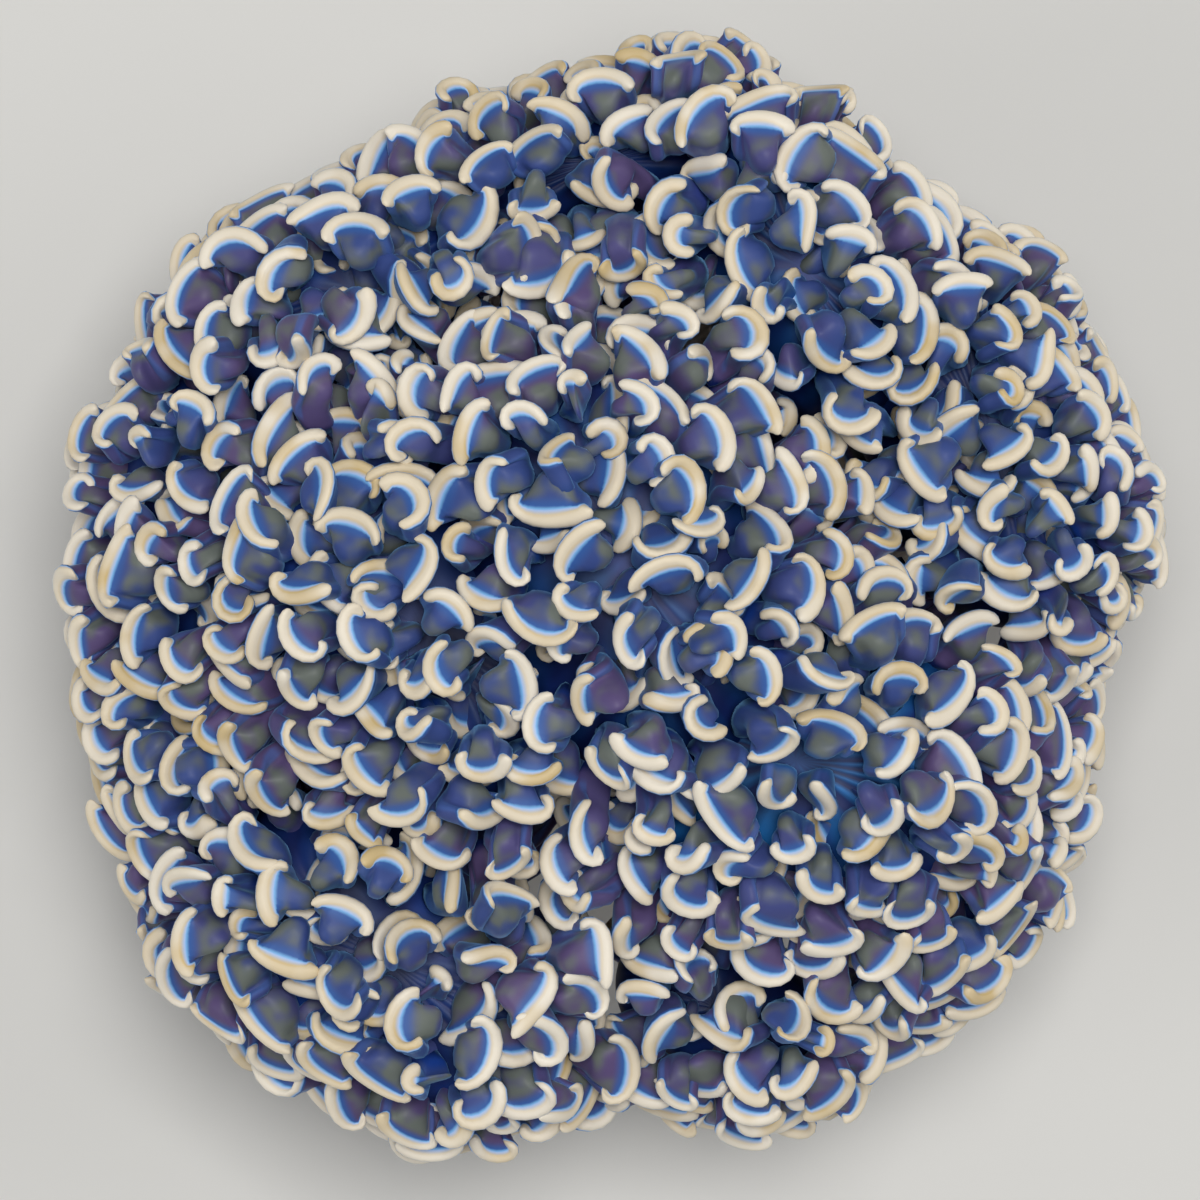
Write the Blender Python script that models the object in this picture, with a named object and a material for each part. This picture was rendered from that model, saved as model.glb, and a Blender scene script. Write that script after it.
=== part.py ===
"""Hammer coral: stony branches that fork from a cut foot, with a fleshy polyp on each branch.

The numbers in the tables below are millimetres. X runs to the right and Y up in a view from
above, and Z is up from the flat cut of the foot.
"""

import math
from collections import namedtuple

import bmesh
import bpy
from mathutils import Matrix, Vector

MM = 0.001
GAP = 0.3 * MM

# The foot, which spreads where it grew and is cut flat there.
FOOT_RADIUS = 20.0 * MM
FOOT_TOP_RADIUS = 13.5 * MM
FOOT_HEIGHT = 7.0 * MM
FOOT_SIDES = 20
FOOT_LOBES = 5
FOOT_LOBE_DEPTH = 0.09
FOOT_LOBE_TURN = 0.6

# The stony limbs and the branches that fork from them, each widening to the cup of its polyp.
LIMB_ROOT_SPREAD = 0.42
LIMB_ROOT_HEIGHT = 4.5 * MM
LIMB_BEND = (0.35, 0.35, 0.8)
LIMB_RADII = (6.0 * MM, 5.2 * MM)
BRANCH_ROOT_RADIUS = 3.7 * MM
BRANCH_ROOT_SUNK = 1.0 * MM
BRANCH_BEND = (0.92, 0.92, 0.35)
CUP_SHARE = 0.46
CUP_LEAST = 3.6 * MM
CUP_DEPTH = 5.0 * MM
TUBE_POINTS = 4
TUBE_RESOLUTION = 2

# A polyp's dome, which goes round its mouth line.
DOME_SEGMENTS = 12
DOME_RINGS = 6
DOME_FULLNESS = 0.8

# The kidney-shaped hammer heads that stand on a dome in rows round the mouth.
HEAD_RADIUS = 5.0 * MM
HEAD_POINTS = 7
HEAD_DEPTH_SHARE = 0.85
HEAD_NOTCH = 0.95
HEAD_TAPER = 0.8
HEAD_SUNK = 1.5 * MM
HEAD_PROUD = 1.5 * MM
HEAD_TILT = math.radians(14)
HEAD_PITCH = 10.0 * MM
HEAD_ROWS = (math.radians(21), math.radians(55), math.radians(85), math.radians(112))
LEAST_ROW = 3
EDGE_CLEARANCE = 3.0 * MM

CELL_SIZE = 300.0 * MM
WELD = 0.01 * MM

STONE_COLOUR = (0.62, 0.55, 0.46)
FLESH_COLOUR = (0.42, 0.43, 0.44)

Limb = namedtuple("Limb", "name x y z")
Polyp = namedtuple("Polyp", "name limb start end reach top underside")

# Where each limb ends and forks.
LIMBS = (
    Limb("middle", -3.0, 2.0, 13.5),
    Limb("north", 5.0, 16.0, 11.5),
    Limb("east", 18.0, 3.5, 11.0),
    Limb("south_east", 11.0, -13.0, 11.0),
    Limb("south_west", -13.0, -12.0, 11.0),
    Limb("west", -15.5, 8.0, 11.0),
)

# Each polyp's limb, the two ends of its mouth line, how far its tentacles reach from that line,
# and the heights of its top and of its underside.
POLYPS = (
    Polyp("middle", "middle", (-1.0, 8.0), (3.5, -1.5), 15.5, 58.0, 25.0),
    Polyp("centre_left", "middle", (-17.5, 2.5), (-9.5, -5.5), 13.5, 54.5, 23.0),
    Polyp("lower_right", "south_east", (9.5, -10.5), (17.5, -12.0), 15.0, 54.0, 22.0),
    Polyp("upper_right", "north", (11.5, 28.5), (16.5, 20.5), 11.5, 52.0, 20.0),
    Polyp("crown", "north", (-6.0, 31.0), (4.5, 34.0), 8.5, 46.5, 18.0),
    Polyp("upper_left", "west", (-22.5, 21.0), (-15.0, 25.0), 10.5, 48.5, 18.0),
    Polyp("left", "west", (-28.5, 10.0), (-29.0, 3.0), 11.5, 45.0, 17.0),
    Polyp("left_low", "south_west", (-30.5, -8.0), (-28.5, -17.0), 8.5, 40.5, 17.0),
    Polyp("lower_left", "south_west", (-21.0, -23.0), (-11.5, -29.0), 13.0, 48.0, 17.0),
    Polyp("bottom", "south_east", (6.0, -28.5), (10.5, -31.5), 9.5, 42.5, 17.0),
    Polyp("tail_right", "south_east", (22.0, -25.0), (25.0, -22.5), 9.0, 42.5, 17.0),
    Polyp("right_low", "east", (30.0, -10.0), (28.5, -15.0), 7.0, 40.0, 17.5),
    Polyp("right", "east", (25.5, 17.0), (30.5, 6.5), 10.5, 45.5, 17.0),
)


# Objects, collections and cuts.


def clear_scene():
    for item in list(bpy.data.objects):
        bpy.data.objects.remove(item, do_unlink=True)


def make_collection(name):
    collection = bpy.data.collections.new(name)
    bpy.context.scene.collection.children.link(collection)
    return collection


def make_material(name, colour, roughness):
    material = bpy.data.materials.new(name)
    material.use_nodes = True
    shader = material.node_tree.nodes["Principled BSDF"]
    shader.inputs["Base Color"].default_value = (*colour, 1.0)
    shader.inputs["Roughness"].default_value = roughness
    shader.inputs["Metallic"].default_value = 0.0
    return material


def object_from(bm, name, collection):
    """Turns a bmesh into an object in a collection."""
    bmesh.ops.recalc_face_normals(bm, faces=bm.faces)
    mesh = bpy.data.meshes.new(name)
    bm.to_mesh(mesh)
    bm.free()
    item = bpy.data.objects.new(name, mesh)
    collection.objects.link(item)
    return item


def as_cutter(item):
    item.hide_render = True
    item.display_type = "WIRE"
    return item


def combine(target, cutters, operation):
    """Joins or cuts the target with each cutter in turn, and removes the cutters.

    The exact solver drops most of a polyp whose heads overlap, and this one keeps it closed.
    """
    for cutter in cutters:
        modifier = target.modifiers.new("combine", "BOOLEAN")
        modifier.operation = operation
        modifier.solver = "MANIFOLD"
        modifier.object = cutter
    graph = bpy.context.evaluated_depsgraph_get()
    mesh = bpy.data.meshes.new_from_object(target.evaluated_get(graph))
    target.modifiers.clear()
    target.data = mesh
    for cutter in cutters:
        bpy.data.objects.remove(cutter, do_unlink=True)


def corners(item):
    points = [vertex.co for vertex in item.data.vertices]
    low = [min(point[axis] for point in points) for axis in range(3)]
    high = [max(point[axis] for point in points) for axis in range(3)]
    return low, high


def boxes_meet(one, other):
    low, high = corners(one)
    other_low, other_high = corners(other)
    return all(low[k] < other_high[k] and other_low[k] < high[k] for k in range(3))


def drop_crumbs(item):
    """Keeps the largest connected piece of a mesh and deletes the crumbs that a cut left."""
    bm = bmesh.new()
    bm.from_mesh(item.data)
    rest = set(bm.verts)
    pieces = []
    while rest:
        piece = set()
        edge_of_search = [rest.pop()]
        while edge_of_search:
            vertex = edge_of_search.pop()
            piece.add(vertex)
            near = {link.other_vert(vertex) for link in vertex.link_edges} & rest
            rest -= near
            edge_of_search += near
        pieces.append(piece)
    largest = max(pieces, key=len)
    bmesh.ops.delete(bm, geom=[vertex for vertex in bm.verts if vertex not in largest],
                     context="VERTS")
    bm.to_mesh(item.data)
    bm.free()


# The stony skeleton. Each shape takes its row of the tables, and grow makes it larger all round.


def mixed(start, end, shares):
    """The point that lies at a share of the way from start to end along each axis."""
    return Vector([start[k] + (end[k] - start[k]) * shares[k] for k in range(3)])


def bent_path(start, bend, end):
    """Shares and points of a smooth curve from start to end that leans towards the bend."""
    shares = [step / (TUBE_POINTS - 1) for step in range(TUBE_POINTS)]
    points = [start * (1 - t) ** 2 + bend * (2 * t * (1 - t)) + end * t ** 2 for t in shares]
    return shares, points


def tube(points, radii, grow, name, collection):
    """A round stem through the points, closed at both ends, as a mesh."""
    first = points[0] + (points[0] - points[1]).normalized() * grow
    last = points[-1] + (points[-1] - points[-2]).normalized() * grow
    curve = bpy.data.curves.new(name, "CURVE")
    curve.dimensions = "3D"
    curve.bevel_depth = 1.0
    curve.bevel_resolution = TUBE_RESOLUTION
    curve.use_fill_caps = True
    spline = curve.splines.new("POLY")
    spline.points.add(len(points) - 1)
    for spot, point, radius in zip(spline.points, [first, *points[1:-1], last], radii):
        spot.co = (*point, 1.0)
        spot.radius = radius + grow
    holder = bpy.data.objects.new(name, curve)
    collection.objects.link(holder)
    graph = bpy.context.evaluated_depsgraph_get()
    mesh = bpy.data.meshes.new_from_object(holder.evaluated_get(graph))
    bpy.data.objects.remove(holder, do_unlink=True)
    bm = bmesh.new()
    bm.from_mesh(mesh)
    bmesh.ops.remove_doubles(bm, verts=bm.verts, dist=WELD)
    return object_from(bm, name, collection)


def foot_shape(_, grow, name, collection):
    bm = bmesh.new()
    bmesh.ops.create_cone(
        bm, cap_ends=True, segments=FOOT_SIDES, radius1=FOOT_RADIUS + grow,
        radius2=FOOT_TOP_RADIUS + grow, depth=FOOT_HEIGHT + 2 * grow)
    for vertex in bm.verts:
        angle = math.atan2(vertex.co.y, vertex.co.x)
        swell = 1.0 + FOOT_LOBE_DEPTH * math.sin(FOOT_LOBES * angle + FOOT_LOBE_TURN)
        vertex.co.x *= swell
        vertex.co.y *= swell
        vertex.co.z += FOOT_HEIGHT / 2
    return object_from(bm, name, collection)


def limb_end(limb):
    return Vector((limb.x, limb.y, limb.z)) * MM


def limb_shape(limb, grow, name, collection):
    end = limb_end(limb)
    start = Vector((end.x * LIMB_ROOT_SPREAD, end.y * LIMB_ROOT_SPREAD, LIMB_ROOT_HEIGHT))
    shares, points = bent_path(start, mixed(start, end, LIMB_BEND), end)
    low, high = LIMB_RADII
    radii = [low + (high - low) * t for t in shares]
    return tube(points, radii, grow, name, collection)


def branch_shape(polyp, grow, name, collection):
    limb = next(entry for entry in LIMBS if entry.name == polyp.limb)
    start = limb_end(limb) - Vector((0.0, 0.0, BRANCH_ROOT_SUNK))
    end = mouth(polyp)[0]
    end.z = polyp.underside * MM + CUP_DEPTH
    shares, points = bent_path(start, mixed(start, end, BRANCH_BEND), end)
    cup = max(CUP_LEAST, CUP_SHARE * polyp.reach * MM)
    radii = [BRANCH_ROOT_RADIUS + (cup - BRANCH_ROOT_RADIUS) * t ** 2 for t in shares]
    return tube(points, radii, grow, name, collection)


def stone_pieces():
    """Name, shape function and table row of each stony piece, from the foot outwards."""
    pieces = [("foot", foot_shape, None)]
    pieces += [("limb_" + limb.name, limb_shape, limb) for limb in LIMBS]
    pieces += [("branch_" + polyp.name, branch_shape, polyp) for polyp in POLYPS]
    return pieces


def cut_back(item, pieces, tools):
    """Cuts an object back, with a gap, from every stony piece in the list that it meets."""
    grown = [as_cutter(shape(row, GAP, "grown", tools)) for _, shape, row in pieces]
    meeting = [cutter for cutter in grown if boxes_meet(item, cutter)]
    for cutter in grown:
        if cutter not in meeting:
            bpy.data.objects.remove(cutter, do_unlink=True)
    combine(item, meeting, "DIFFERENCE")


def build_skeleton(material, collection, tools):
    pieces = stone_pieces()
    for number, (name, shape, row) in enumerate(pieces):
        item = shape(row, 0.0, name, collection)
        cut_back(item, pieces[:number], tools)
        finish(item, material)


# The mouth line and the dome round it.


def mouth(polyp):
    """The middle of the mouth line in plan, its direction and its half length."""
    start = Vector((*polyp.start, 0.0)) * MM
    end = Vector((*polyp.end, 0.0)) * MM
    line = end - start
    return (start + end) / 2, line.normalized(), line.length / 2


def dome_centre(polyp):
    centre = mouth(polyp)[0]
    centre.z = (polyp.top + polyp.underside) / 2 * MM
    return centre


def dome_point(polyp, slide, turn, fall):
    """A point of the dome: a place along the mouth line from -1 to 1, an angle round it, and an
    angle down from the top."""
    along, half = mouth(polyp)[1:]
    across = Vector((-along.y, along.x, 0.0))
    out = (polyp.reach * MM - HEAD_PROUD) * max(0.0, math.sin(fall)) ** DOME_FULLNESS
    rise = (polyp.top - polyp.underside) / 2 * MM - HEAD_PROUD
    point = along * (out * math.cos(turn) + half * slide) + across * (out * math.sin(turn))
    point.z = math.copysign(rise * abs(math.cos(fall)) ** DOME_FULLNESS, math.cos(fall))
    return dome_centre(polyp) + point


def dome_axes(polyp, slide, turn, fall):
    """The directions across, away from the mouth, and outwards, at a point of the dome."""
    step = math.radians(2)
    above = dome_point(polyp, slide, turn, fall - step)
    below = dome_point(polyp, slide, turn, fall + step)
    before = dome_point(polyp, slide, turn - step, fall)
    after = dome_point(polyp, slide, turn + step, fall)
    away = (below - above).normalized()
    out = (after - before).cross(away).normalized()
    if out.dot(above - dome_centre(polyp)) < 0:
        out.negate()
    return away.cross(out), away, out


def dome(polyp, collection):
    bm = bmesh.new()
    bmesh.ops.create_uvsphere(bm, u_segments=DOME_SEGMENTS, v_segments=DOME_RINGS, radius=1.0)
    for vertex in bm.verts:
        at_pole = math.hypot(vertex.co.x, vertex.co.y) < 0.01
        turn = 0.0 if at_pole else math.atan2(vertex.co.y, vertex.co.x)
        slide = 0.0 if at_pole else max(-1.0, min(1.0, 2.0 * math.cos(turn)))
        fall = math.acos(max(-1.0, min(1.0, vertex.co.z)))
        vertex.co = dome_point(polyp, slide, turn, fall)
    return object_from(bm, "polyp_" + polyp.name, collection)


# The hammer heads.


def hammer_head(polyp, place, collection):
    """One kidney-shaped head, its notch towards the mouth and its far edge raised."""
    bm = bmesh.new()
    bmesh.ops.create_circle(bm, cap_ends=True, segments=HEAD_POINTS, radius=HEAD_RADIUS)
    notch = max(bm.verts, key=lambda vertex: vertex.co.y)
    notch.co.y *= 1.0 - HEAD_NOTCH
    for vertex in bm.verts:
        vertex.co.y *= -HEAD_DEPTH_SHARE
        vertex.co.z = -HEAD_SUNK
    raised = bmesh.ops.extrude_face_region(bm, geom=bm.faces[:])["geom"]
    for vertex in [part for part in raised if isinstance(part, bmesh.types.BMVert)]:
        vertex.co = Vector((vertex.co.x * HEAD_TAPER, vertex.co.y * HEAD_TAPER, HEAD_PROUD))
    matrix = Matrix(dome_axes(polyp, *place)).transposed().to_4x4()
    matrix.translation = dome_point(polyp, *place)
    matrix = matrix @ Matrix.Rotation(HEAD_TILT, 4, "X")
    bmesh.ops.transform(bm, matrix=matrix, verts=bm.verts)
    return as_cutter(object_from(bm, "head", collection))


def round_the_mouth(half, radius, share):
    """The place along the mouth line and the angle round it, at a share of a row's girth."""
    straight = 2 * half
    arc = math.pi * radius
    run = (share % 1.0) * 2 * (straight + arc)
    side = 1.0
    if run > straight + arc:
        run -= straight + arc
        side = -1.0
    if run < straight:
        return side * (2 * run / straight - 1.0), -side * math.pi / 2
    turned = (run - straight) / radius - math.pi / 2
    return side, turned if side > 0 else turned + math.pi


def head_places(polyp, planes):
    """The places of the heads, in staggered rows, that lie inside the polyp's own space."""
    half = mouth(polyp)[2]
    places = []
    for row, fall in enumerate(HEAD_ROWS):
        radius = polyp.reach * MM * math.sin(fall)
        count = max(LEAST_ROW, round((math.tau * radius + 4 * half) / HEAD_PITCH))
        for step in range(count):
            slide, turn = round_the_mouth(half, radius, (step + 0.5 * (row % 2)) / count)
            spot = dome_point(polyp, slide, turn, fall)
            if all((spot - point).dot(normal) < -EDGE_CLEARANCE for point, normal in planes):
                places.append((slide, turn, fall))
    return places


# The space of each polyp, parted from its neighbours by flat valleys.


def nearest_on_mouth(polyp, spot):
    middle, along, half = mouth(polyp)
    return middle + along * max(-half, min(half, (spot - middle).dot(along)))


def nearest_pair(one, other):
    """The points of two mouth lines that lie nearest to each other, raised to their domes."""
    there = mouth(other)[0]
    for _ in range(6):
        here = nearest_on_mouth(one, there)
        there = nearest_on_mouth(other, here)
    here.z = dome_centre(one).z
    there.z = dome_centre(other).z
    return here, there


def valley_planes(polyp):
    """A point and an outward normal for the valley towards each neighbour."""
    planes = []
    for other in POLYPS:
        if other is polyp:
            continue
        here, there = nearest_pair(polyp, other)
        distance = (there - here).length
        reach = polyp.reach * MM
        other_reach = other.reach * MM
        if distance > reach + other_reach + 2 * HEAD_RADIUS:
            continue
        normal = (there - here) / distance
        share = (distance ** 2 + reach ** 2 - other_reach ** 2) / (2 * distance)
        planes.append((here + normal * (share - GAP / 2), normal))
    return planes


def cell(planes, collection):
    """The convex space that the planes leave, as a cutter."""
    bm = bmesh.new()
    bmesh.ops.create_cube(bm, size=CELL_SIZE)
    for point, normal in planes:
        bmesh.ops.bisect_plane(
            bm, geom=bm.verts[:] + bm.edges[:] + bm.faces[:], plane_co=point, plane_no=normal,
            clear_outer=True)
        rim = [edge for edge in bm.edges if edge.is_boundary]
        if rim:
            bmesh.ops.contextual_create(bm, geom=rim)
    return as_cutter(object_from(bm, "cell", collection))


def build_polyp(polyp, material, collection, tools):
    """A dome with its heads joined to it, inside its own space and clear of the branches."""
    planes = valley_planes(polyp)
    item = dome(polyp, collection)
    heads = [hammer_head(polyp, place, tools) for place in head_places(polyp, planes)]
    combine(item, heads, "UNION")
    combine(item, [cell(planes, tools)], "INTERSECT")
    cut_back(item, stone_pieces(), tools)
    drop_crumbs(item)
    finish(item, material)


def finish(item, material):
    item.data.materials.clear()
    item.data.materials.append(material)


def main():
    clear_scene()
    parts = make_collection("hammer_coral")
    tools = make_collection("cutters")
    stone = make_material("coral skeleton", STONE_COLOUR, 0.85)
    flesh = make_material("coral flesh", FLESH_COLOUR, 0.45)
    build_skeleton(stone, parts, tools)
    for polyp in POLYPS:
        build_polyp(polyp, flesh, parts, tools)


main()
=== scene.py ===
"""Hammer coral: soft tentacles with kidney-shaped tips that hide a branching stony skeleton.

A length with MM beside it is in metres, and a bare one in millimetres, except on the stage, where
all are metres. X runs to the right and Y up in a view from above, and Z is up from the flat cut of
the foot.
"""

import math
from collections import namedtuple

import bmesh
import bpy
import numpy as np
from bpy.props import FloatProperty, FloatVectorProperty, IntProperty, PointerProperty
from bpy.types import Operator, Panel, PropertyGroup
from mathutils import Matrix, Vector, noise


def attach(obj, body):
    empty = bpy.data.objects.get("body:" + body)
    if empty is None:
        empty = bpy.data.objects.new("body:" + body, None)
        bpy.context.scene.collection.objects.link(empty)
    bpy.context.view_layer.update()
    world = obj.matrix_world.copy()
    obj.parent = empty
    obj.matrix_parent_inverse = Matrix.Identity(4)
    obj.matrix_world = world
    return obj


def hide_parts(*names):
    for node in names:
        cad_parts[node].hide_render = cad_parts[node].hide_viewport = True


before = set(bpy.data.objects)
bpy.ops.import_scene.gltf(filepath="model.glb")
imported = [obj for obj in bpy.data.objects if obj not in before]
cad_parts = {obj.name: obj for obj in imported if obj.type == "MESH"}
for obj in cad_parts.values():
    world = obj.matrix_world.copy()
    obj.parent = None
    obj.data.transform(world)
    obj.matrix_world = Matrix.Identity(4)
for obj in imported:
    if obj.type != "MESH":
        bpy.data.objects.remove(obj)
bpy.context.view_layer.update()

bl_info = {
    "name": "Hammer coral",
    "version": (1, 0, 0),
    "blender": (4, 5, 0),
    "location": "View3D > Sidebar > Coral",
    "description": "Dresses a hammer coral with its tentacles, discs and stony skeleton",
    "category": "Object",
}

MM = 0.001
TINY = 1e-9

Limb = namedtuple("Limb", "name end")
Polyp = namedtuple("Polyp", "name limb start end reach top underside")
Ring = namedtuple("Ring", "height ends tongue thickness bend bulge along")

# Where each limb of the skeleton ends and forks.
LIMBS = (
    Limb("middle", (-3.0, 2.0, 13.5)),
    Limb("north", (5.0, 16.0, 11.5)),
    Limb("east", (18.0, 3.5, 11.0)),
    Limb("south_east", (11.0, -13.0, 11.0)),
    Limb("south_west", (-13.0, -12.0, 11.0)),
    Limb("west", (-15.5, 8.0, 11.0)),
)

# Each polyp's limb, the two ends of its mouth line, how far its tips reach from that line, and
# the heights of its top and of its underside.
POLYPS = (
    Polyp("middle", "middle", (-1.0, 8.0), (3.5, -1.5), 15.5, 58.0, 25.0),
    Polyp("centre_left", "middle", (-17.5, 2.5), (-9.5, -5.5), 13.5, 54.5, 23.0),
    Polyp("lower_right", "south_east", (9.5, -10.5), (17.5, -12.0), 15.0, 54.0, 22.0),
    Polyp("upper_right", "north", (11.5, 28.5), (16.5, 20.5), 11.5, 52.0, 20.0),
    Polyp("crown", "north", (-6.0, 31.0), (4.5, 34.0), 8.5, 46.5, 18.0),
    Polyp("upper_left", "west", (-22.5, 21.0), (-15.0, 25.0), 10.5, 48.5, 18.0),
    Polyp("left", "west", (-28.5, 10.0), (-29.0, 3.0), 11.5, 45.0, 17.0),
    Polyp("left_low", "south_west", (-30.5, -8.0), (-28.5, -17.0), 8.5, 40.5, 17.0),
    Polyp("lower_left", "south_west", (-21.0, -23.0), (-11.5, -29.0), 13.0, 48.0, 17.0),
    Polyp("bottom", "south_east", (6.0, -28.5), (10.5, -31.5), 9.5, 42.5, 17.0),
    Polyp("tail_right", "south_east", (22.0, -25.0), (25.0, -22.5), 9.0, 42.5, 17.0),
    Polyp("right_low", "east", (30.0, -10.0), (28.5, -15.0), 7.0, 40.0, 17.5),
    Polyp("right", "east", (25.5, 17.0), (30.5, 6.5), 10.5, 45.5, 17.0),
)

# How much larger or smaller than usual the tips of some polyps are.
TIP_SCALES = {
    "right": 0.84, "right_low": 0.84, "crown": 0.96, "lower_left": 1.10, "upper_left": 1.06,
    "tail_right": 0.90, "bottom": 0.94, "left_low": 1.04}

# How much further than usual, in mm, the tips of some polyps reach past their flesh.
OVERHANGS = {
    "right": 1.6, "right_low": -1.4, "tail_right": -1.8, "left": 0.3, "left_low": -0.2,
    "upper_left": -0.6, "crown": -0.5, "bottom": -0.3, "upper_right": -0.6}

# How wide the tips leave the mouths open, in mm to each side.
MOUTH_GAPS = {"lower_right": 3.5, "upper_right": 1.9, "middle": 1.8}
USUAL_MOUTH_GAP = 1.3
# Where tips bridge the cleft between two polyps.
BRIDGES = ((0.0, -24.2, 24.0), (0.8, -27.0, 24.0), (1.4, -30.0, 24.0))
# How far the bright blue, the flesh's own blue lit up as a painted glow, reaches from a mouth
# line, and how much further the tips lean beside the widest mouth.
MOUTH_GLOW = 5.0 * MM
MOUTH_LEAN = math.radians(24)

# The rings of a tentacle's tip from its cap down to its neck: how far below the cap, the shares
# of the tip's width at the ends of its bar and at its tongue, and of its thickness and bend, how
# far the web bulges inwards, and how far along the skin the ring lies.
TIP_RINGS = (
    Ring(0.00, 0.96, 0.96, 0.50, 1.00, 0.00, 0.97),
    Ring(0.50, 1.00, 1.00, 1.00, 1.00, 0.00, 0.87),
    Ring(0.95, 0.82, 0.88, 0.86, 1.00, 2.00, 0.77),
    Ring(1.90, 0.80, 0.92, 0.92, 0.95, 2.50, 0.64),
    Ring(3.30, 0.54, 0.70, 1.20, 0.60, 1.50, 0.50),
)
ROOT_SWELL = 1.15
# Where a tip's columns of points stand along its bar, how thick the bar is there, and the share
# of the web's bulge.
COLUMN_SPOTS = (-1.0, -0.80, -0.42, 0.0, 0.42, 0.80, 1.0)
COLUMN_SWELLS = (0.42, 1.18, 1.00, 0.95, 1.00, 1.18, 0.42)
COLUMN_BULGES = (0.00, -0.04, 0.86, 1.06, 0.86, -0.04, 0.00)

# The skeleton's limbs and branches, as they bend and widen.
LIMB_ROOT_SPREAD = 0.42
LIMB_ROOT_HEIGHT = 4.5 * MM
LIMB_BEND = (0.35, 0.35, 0.8)
LIMB_RADII = (6.0 * MM, 5.2 * MM)
BRANCH_ROOT_RADIUS = 3.7 * MM
BRANCH_ROOT_SUNK = 1.0 * MM
BRANCH_BEND = (0.92, 0.92, 0.35)
CUP_SHARE = 0.46
CUP_LEAST = 3.6
CUP_DEPTH = 5.0 * MM

SEED = 7
USUAL_TIP_LENGTH = 3.6


def linear(code):
    """An sRGB hex colour as linear red, green and blue."""
    shares = [int(code[place:place + 2], 16) / 255 for place in (0, 2, 4)]
    return tuple(c / 12.92 if c <= 0.04045 else ((c + 0.055) / 1.055) ** 2.4 for c in shares)


def colour(name, description, code):
    """A colour property, with its default as an sRGB hex code."""
    return FloatVectorProperty(
        name=name, description=description, subtype="COLOR", default=linear(code))


# Properties that a user would change.


class CoralSizes(PropertyGroup):
    """The sizes of the tentacles"""
    tip_width: FloatProperty(
        name="Tip width", description="Length of a tip's bar round its bend, in mm",
        default=7.1, min=2.0)
    tip_thickness: FloatProperty(
        name="Tip thickness", description="Thickness of a tip's bar, in mm", default=1.16, min=0.5)
    tip_length: FloatProperty(
        name="Tip length", description="From a tip's cap down to its neck, in mm",
        default=USUAL_TIP_LENGTH, min=1.0)
    stem_radius: FloatProperty(
        name="Stem radius", description="Radius of a tentacle's stem, in mm", default=1.25, min=0.2)
    tip_area: FloatProperty(
        name="Area per tip", description="Area of dome that each tip covers, in square mm",
        default=14.0, min=5.0)
    core_depth: FloatProperty(
        name="Core depth", description="Depth of the fleshy core below the tips, in mm",
        default=5.2, min=2.0, max=6.0)
    seed: IntProperty(name="Seed", description="Picks the arrangement of the tips", default=SEED)


class CoralColours(PropertyGroup):
    """The colours of the flesh and of the stone"""
    rim: colour("Rim", "Cream cap of a tip", "ECE2D0")
    # Partly warm patches of the caps' own cream and partly painted shade towards a cap's lower edge at
    # the line.
    rim_warm_and_shade: colour("Warm rim", "Yellower cream of some caps", "CDB27A")
    line: colour("Line", "Blue line where the cap meets the web", "78B0E2")
    # Painted light: a paler blue lit edge along the webs' sides.
    edge_light: colour("Thin edge", "Paler blue of the web's thin edges", "4C68A8")
    glow: colour("Glow", "Blue of the web beside the line", "355C9E")
    fringe: colour("Fringe", "Pale lilac edge of the cream", "A8C2EA")
    web: colour("Web", "Slate skin of a tip", "3A4C86")
    mottle: colour("Mottle", "Olive cloud in the web", "666C66")
    stem: colour("Stem", "Deep blue of the stems", "1B3F92")
    flank: colour("Flank", "Purple brown skin of the outer tentacles", "5A4B74")
    # Painted shade: the navy that the stems darken to at their roots, deep between the stems, and that
    # mottles the discs.
    recess_shade: colour("Recess", "Navy of the flesh deep between the stems", "0A1C52")
    # The mouth's own blue, made brighter as a painted glow that shows even in shade.
    mouth: colour("Mouth", "Bright blue round the mouth", "1479C4")
    collar: colour("Collar", "Purple brown flesh below the tentacles", "433850")
    stone: colour("Stone", "Pale lime skeleton", "E4DCCB")
    algae: colour("Algae", "Dull pink and brown film on the stone", "D2C6B8")
    stain: colour("Stain", "Brown green stain in the grooves", "AA9F8A")


class StudioSettings(PropertyGroup):
    """The camera and the floor"""
    camera_height: FloatProperty(
        name="Camera height", description="Height of the camera over the cut", default=0.48,
        unit="LENGTH")
    frame_width: FloatProperty(
        name="Frame width", description="Width that the picture takes in at the outline's height",
        default=0.090, unit="LENGTH")
    floor_size: FloatProperty(
        name="Floor size", description="Side of the floor", default=4.0, unit="LENGTH")
    floor_colour: colour("Floor colour", "Pale floor", "D9D7D2")


# Meshes, materials and numbers.

# The sockets of a Mix node's share, its two colours and the colour that comes out.
SHARE, FIRST, SECOND = 0, 6, 7
MIXED = 2


def set_up(node, settings):
    """Gives a node its own settings and the values of its sockets."""
    for name, value in settings.items():
        if isinstance(name, str) and hasattr(node, name):
            setattr(node, name, value)
        else:
            node.inputs[name].default_value = value


def add_node(tree, kind, settings=None, links=None):
    """Adds a shader node with its settings, and its sockets' links by name or number."""
    node = tree.nodes.new("ShaderNode" + kind)
    set_up(node, settings or {})
    for name, source in (links or {}).items():
        tree.links.new(source, node.inputs[name])
    return node


def new_material(name):
    """A new material, its node tree and its shader."""
    material = bpy.data.materials.new(name)
    material.use_nodes = True
    tree = material.node_tree
    return material, tree, tree.nodes["Principled BSDF"]


def opaque(shade):
    """A colour with the alpha that a socket wants."""
    return (*shade, 1.0)


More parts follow.
